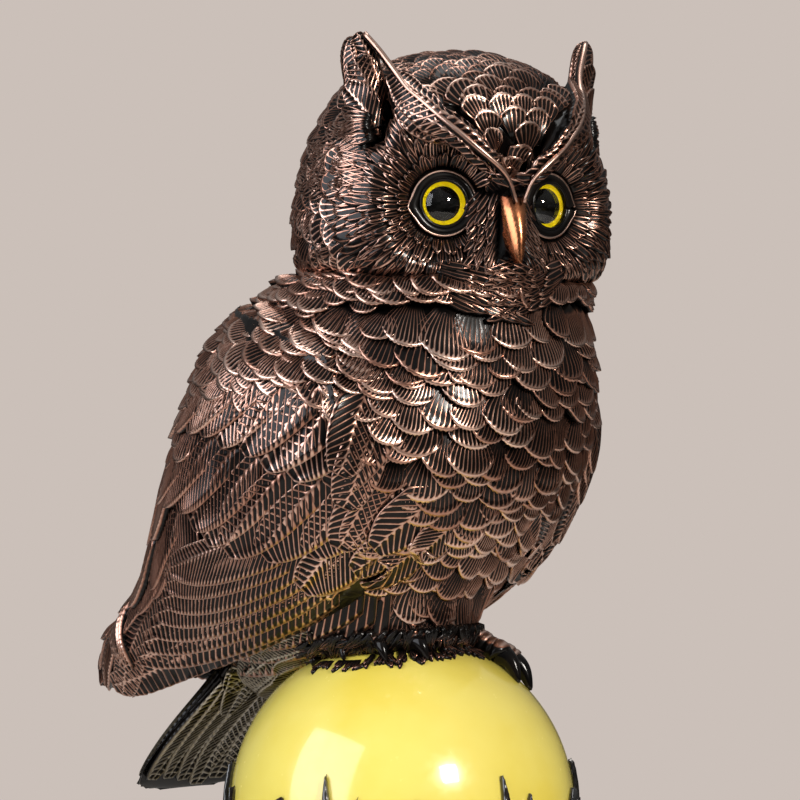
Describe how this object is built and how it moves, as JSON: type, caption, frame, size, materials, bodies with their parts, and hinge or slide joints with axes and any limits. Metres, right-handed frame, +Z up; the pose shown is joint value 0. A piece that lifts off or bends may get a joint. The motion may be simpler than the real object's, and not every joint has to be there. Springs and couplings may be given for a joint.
{
  "type": "owl figurine",
  "caption": "Perched owl figurine with ear tufts, folded wings, long tail and glass eyes, standing on a glossy flat-footed ball with a raised grass and leaf band.",
  "frame": {"origin": "centre of the underside of the felt pad, which is the resting face, on the axis of the ball", "axes": "+Z up; the owl's body faces -Y with its head turned a little to its right; +X is the owl's left side"},
  "size_m": [0.109, 0.157, 0.2259],
  "materials": {
    "plated_casting": "cold-cast resin plated with copper, darkened with a black patina and rubbed back to bright copper on the raised edges",
    "beak_copper": "the same plated resin rubbed almost bare of patina",
    "eye_glass": "fire-polished clear glass dome",
    "iris_paint": "yellow enamel on the back of the glass",
    "pupil_paint": "black enamel on the back of the glass",
    "ball_lacquer": "cast resin ball sprayed yellow under a clear gloss coat",
    "relief_black": "raised black enamel, glossy",
    "steel": "zinc-plated steel",
    "insert_brass": "turned brass",
    "ballast_iron": "bare cast iron",
    "felt": "pressed black felt"
  },
  "bodies": {
    "root": {"body_casting": "plated_casting", "head_casting": "plated_casting", "right_ear_tuft": "plated_casting", "left_ear_tuft": "plated_casting", "beak": "beak_copper", "right_wing": "plated_casting", "left_wing": "plated_casting", "tail": "plated_casting", "right_foot": "plated_casting", "left_foot": "plated_casting", "right_eye_glass": "eye_glass", "left_eye_glass": "eye_glass", "right_eye_iris": "iris_paint", "left_eye_iris": "iris_paint", "right_eye_pupil": "pupil_paint", "left_eye_pupil": "pupil_paint", "ball_shell": "ball_lacquer", "ball_relief": "relief_black", "ball_ground_line": "relief_black", "ball_leaf_fills": "ball_lacquer", "tie_rod": "steel", "insert_nut": "insert_brass", "rod_washer": "steel", "rod_nut": "steel", "locating_dowel": "steel", "ballast_plate": "ballast_iron", "felt_pad": "felt"}
  },
  "joints": []
}
